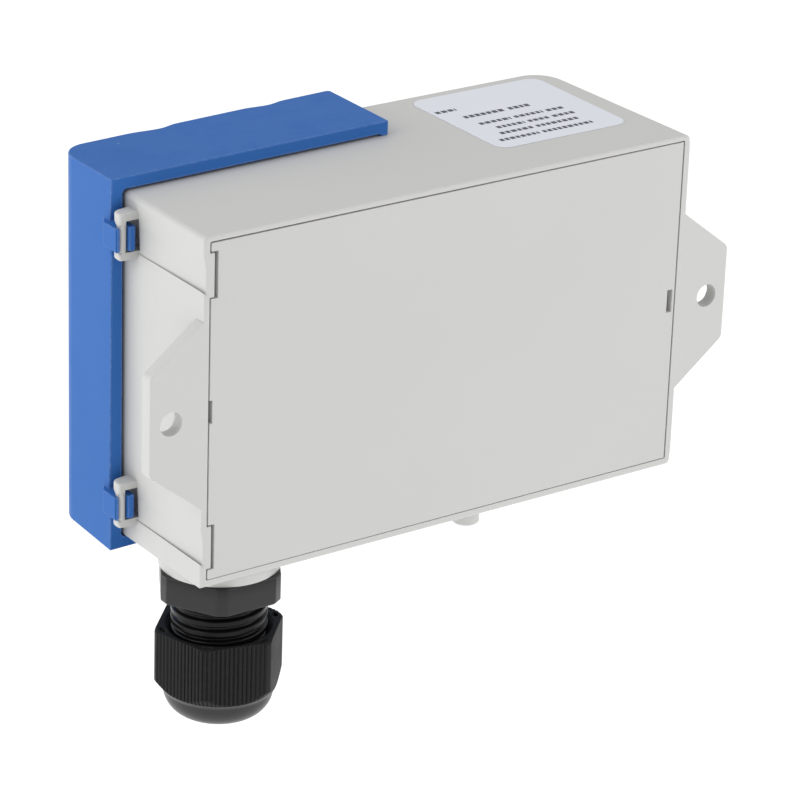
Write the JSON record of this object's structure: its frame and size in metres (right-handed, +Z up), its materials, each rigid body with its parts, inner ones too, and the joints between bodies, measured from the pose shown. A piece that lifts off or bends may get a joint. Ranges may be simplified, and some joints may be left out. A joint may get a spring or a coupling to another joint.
{
  "type": "differential pressure sensor",
  "caption": "Wall-mounted differential pressure sensor: grey box housing with ears, blue hinged terminal cover, hose spigots and a black cable gland below.",
  "frame": {"origin": "centre of the back face that lies against the wall, halfway between the two wall screw holes", "axes": "+Z up, +Y into the wall, -Y towards the person in front, +X towards the hinged edge of the cover"},
  "size_m": [0.129, 0.0479, 0.1033],
  "materials": {
    "housing_grey": "light grey moulded ABS, very fine texture",
    "plate_grey": "light grey moulded ABS, very fine texture",
    "label_film": null,
    "cover_blue": "blue moulded ABS, satin",
    "black_rubber": "black rubber",
    "board_green": "green solder mask",
    "screw_steel": "zinc plated steel",
    "component_black": "black moulding compound",
    "capacitor_sleeve": "dark shrink sleeve",
    "terminal_green": "green polyamide",
    "contact_brass": "tinned brass",
    "button_red": "red plastic",
    "spigot_grey": "light grey plastic",
    "silicone_clear": "translucent silicone",
    "gland_black": "black polyamide",
    "washer_grey": "natural polyamide"
  },
  "bodies": {
    "root": {"housing": "housing_grey", "back_plate": "plate_grey", "label": "label_film", "cover_gasket": "black_rubber", "circuit_board": "board_green", "board_screws": "screw_steel", "sensor_cell": "component_black", "microcontroller": "component_black", "voltage_regulator": "component_black", "bridge_rectifier": "component_black", "smoothing_capacitor": "capacitor_sleeve", "terminal_block": "terminal_green", "terminal_contacts": "contact_brass", "zero_switch": "component_black", "hose_spigot_rear": "spigot_grey", "hose_spigot_front": "spigot_grey", "spigot_orings": "black_rubber", "tube_rear": "silicone_clear", "tube_front": "silicone_clear", "gland_body": "gland_black", "gland_oring": "black_rubber", "gland_seal": "black_rubber"},
    "cover": {"cover": "cover_blue"},
    "gland_washer": {"gland_washer": "washer_grey"},
    "gland_nut": {"gland_nut": "gland_black"},
    "zero_button": {"zero_button": "button_red"},
    "terminal_screw_1": {"terminal_screw_1": "screw_steel"},
    "wire_clamp_1": {"wire_clamp_1": "screw_steel"},
    "terminal_screw_2": {"terminal_screw_2": "screw_steel"},
    "wire_clamp_2": {"wire_clamp_2": "screw_steel"},
    "terminal_screw_3": {"terminal_screw_3": "screw_steel"},
    "wire_clamp_3": {"wire_clamp_3": "screw_steel"}
  },
  "joints": [
    {"name": "cover_swing", "type": "hinge", "parent": "root", "child": "cover", "pos_m": [0.05655, -0.0229, 0], "axis": [0, 0, 1], "range_deg": [0, 105]},
    {"name": "gland_nut_travel", "type": "slide", "parent": "root", "child": "gland_washer", "axis": [0, 0, 1], "range_m": [-0.00211, 0.00316]},
    {"name": "gland_nut_turn", "type": "hinge", "parent": "gland_washer", "child": "gland_nut", "pos_m": [0.04151, -0.01245, -0.04879], "axis": [0, 0, 1], "range_deg": [-360, 540]},
    {"name": "zero_button_press", "type": "slide", "parent": "root", "child": "zero_button", "axis": [0, 1, 0], "range_m": [0, 0.00025], "stiffness_N_per_m": 2000},
    {"name": "terminal_screw_1_turn", "type": "hinge", "parent": "root", "child": "terminal_screw_1", "pos_m": [0.0214, -0.018, -0.005], "axis": [0, 1, 0], "range_deg": [0, 1601]},
    {"name": "wire_clamp_1_lift", "type": "slide", "parent": "root", "child": "wire_clamp_1", "axis": [0, -1, 0], "range_m": [0, 0.002]},
    {"name": "terminal_screw_2_turn", "type": "hinge", "parent": "root", "child": "terminal_screw_2", "pos_m": [0.0214, -0.018, 0], "axis": [0, 1, 0], "range_deg": [0, 1601]},
    {"name": "wire_clamp_2_lift", "type": "slide", "parent": "root", "child": "wire_clamp_2", "axis": [0, -1, 0], "range_m": [0, 0.002]},
    {"name": "terminal_screw_3_turn", "type": "hinge", "parent": "root", "child": "terminal_screw_3", "pos_m": [0.0214, -0.018, 0.005], "axis": [0, 1, 0], "range_deg": [0, 1601]},
    {"name": "wire_clamp_3_lift", "type": "slide", "parent": "root", "child": "wire_clamp_3", "axis": [0, -1, 0], "range_m": [0, 0.002]}
  ],
  "couplings": [
    {"joint": "gland_nut_travel", "follows": "gland_nut_turn", "m_per_rad": 0.00033423},
    {"joint": "terminal_screw_1_turn", "follows": "wire_clamp_1_lift", "rad_per_m": 13963},
    {"joint": "terminal_screw_2_turn", "follows": "wire_clamp_2_lift", "rad_per_m": 13963},
    {"joint": "terminal_screw_3_turn", "follows": "wire_clamp_3_lift", "rad_per_m": 13963}
  ]
}
